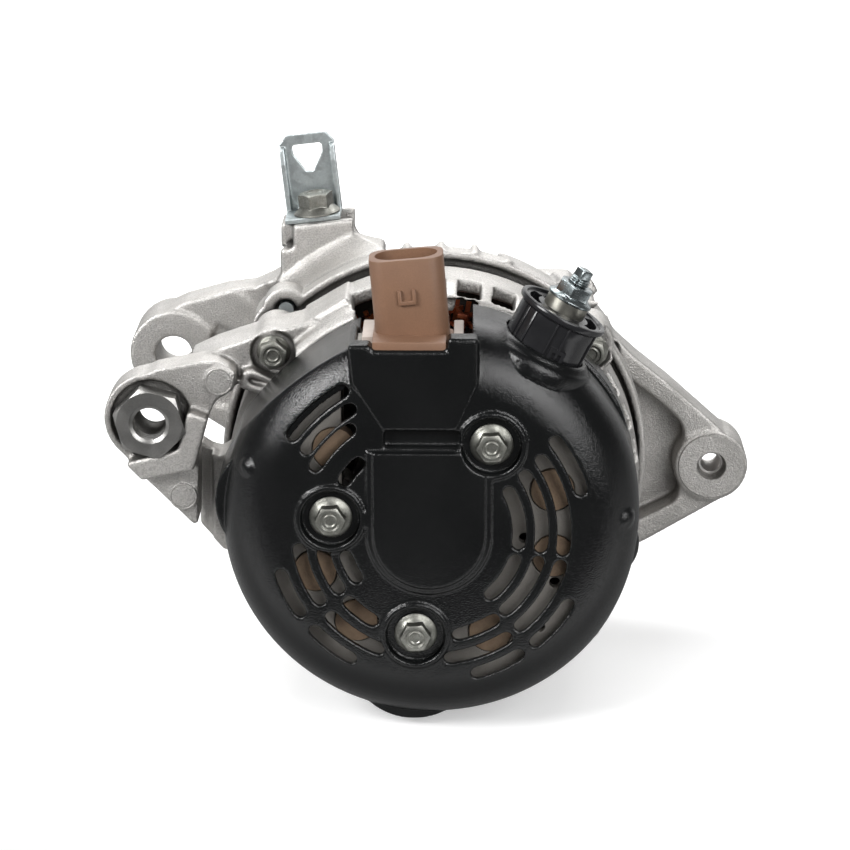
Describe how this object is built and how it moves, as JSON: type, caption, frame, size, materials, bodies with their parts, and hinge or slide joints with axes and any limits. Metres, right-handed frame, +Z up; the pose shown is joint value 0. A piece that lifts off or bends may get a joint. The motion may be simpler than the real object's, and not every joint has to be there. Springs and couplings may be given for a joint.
{
  "type": "car alternator",
  "caption": "Car alternator with die-cast housings, rear cover, plug socket, output stud, pivot ears, adjusting lug and ribbed belt pulley.",
  "frame": {"origin": "on the shaft axis, at the middle of the belt track of the pulley", "axes": "+Y along the shaft from the rear cover to the pulley, +Z up with the plug socket on top, +X towards the adjusting lug"},
  "size_m": [0.206, 0.165, 0.1668],
  "materials": {
    "cast_aluminium": "matte",
    "black_plastic": "gloss",
    "zinc_plate": "satin",
    "bright_zinc": "satin",
    "dark_steel": "satin",
    "lamination_steel": "matte",
    "copper_enamel": "gloss",
    "bearing_steel": "polished",
    "plate_aluminium": "matte",
    "diode_epoxy": "matte",
    "dark_resin": "matte",
    "tan_plastic": "matte",
    "tinned_copper": "satin",
    "carbon": "matte",
    "brass_ring": "satin",
    "cage_polymer": "matte"
  },
  "bodies": {
    "housing": {"front_housing": "cast_aluminium", "locating_pin": "zinc_plate", "rear_housing": "cast_aluminium", "rear_cover": "black_plastic", "cover_bolts": "zinc_plate", "through_bolts": "zinc_plate", "stator_core": "lamination_steel", "stator_winding": "copper_enamel", "front_bearing_outer_ring": "bearing_steel", "bearing_retainer_plate": "zinc_plate", "retainer_screws": "zinc_plate", "rear_bearing_outer_ring": "bearing_steel", "positive_heat_sink": "plate_aluminium", "negative_heat_sink": "plate_aluminium", "positive_diodes": "diode_epoxy", "negative_diodes": "diode_epoxy", "rectifier_frame": "dark_resin", "rectifier_bushings": "dark_resin", "brush_holder": "dark_resin", "brush_holder_screws": "zinc_plate", "rear_brush_spring": "bearing_steel", "front_brush_spring": "bearing_steel", "regulator_body": "dark_resin", "regulator_heat_sink": "plate_aluminium", "plug_socket": "tan_plastic", "socket_pins": "tinned_copper", "terminal_insulator": "black_plastic", "terminal_collar": "tinned_copper", "terminal_stud": "bright_zinc", "terminal_nut": "bright_zinc", "harness_bracket": "bright_zinc", "bracket_bolt": "zinc_plate"},
    "rotor": {"rotor_shaft": "dark_steel", "front_pole": "dark_steel", "rear_pole": "dark_steel", "field_coil": "copper_enamel", "coil_bobbin": "dark_resin", "front_fan": "dark_steel", "rear_fan": "dark_steel", "slip_rings": "brass_ring", "slip_ring_core": "dark_resin", "rotor_spacer": "dark_steel", "front_bearing_inner_ring": "bearing_steel", "rear_bearing_inner_ring": "bearing_steel", "pulley": "dark_steel", "pulley_nut": "zinc_plate"},
    "front_cage": {"front_bearing_balls": "bearing_steel", "front_bearing_cage": "cage_polymer"},
    "rear_cage": {"rear_bearing_balls": "bearing_steel", "rear_bearing_cage": "cage_polymer"},
    "rear_brush_block": {"rear_brush": "carbon"},
    "front_brush_block": {"front_brush": "carbon"},
    "clamp_bush": {"mount_bush": "dark_steel"}
  },
  "joints": [
    {"name": "rotor_spin", "type": "hinge", "parent": "housing", "child": "rotor", "pos_m": [0, 0, 0], "axis": [0, 1, 0], "continuous": true},
    {"name": "front_cage_spin", "type": "hinge", "parent": "housing", "child": "front_cage", "pos_m": [0, -0.03, 0], "axis": [0, 1, 0], "continuous": true},
    {"name": "rear_cage_spin", "type": "hinge", "parent": "housing", "child": "rear_cage", "pos_m": [0, -0.111, 0], "axis": [0, 1, 0], "continuous": true},
    {"name": "rear_brush_slide", "type": "slide", "parent": "housing", "child": "rear_brush_block", "axis": [0, 0, 1], "range_m": [0, 0.004], "stiffness_N_per_m": 400, "springref_m": -0.008, "deforming": ["rear_brush_spring"]},
    {"name": "front_brush_slide", "type": "slide", "parent": "housing", "child": "front_brush_block", "axis": [0, 0, 1], "range_m": [0, 0.004], "stiffness_N_per_m": 400, "springref_m": -0.008, "deforming": ["front_brush_spring"]},
    {"name": "bush_slide", "type": "slide", "parent": "housing", "child": "clamp_bush", "axis": [0, 1, 0], "range_m": [0, 0.0017]}
  ],
  "couplings": [
    {"joint": "front_cage_spin", "follows": "rotor_spin", "ratio": 0.36375},
    {"joint": "rear_cage_spin", "follows": "rotor_spin", "ratio": 0.38}
  ]
}
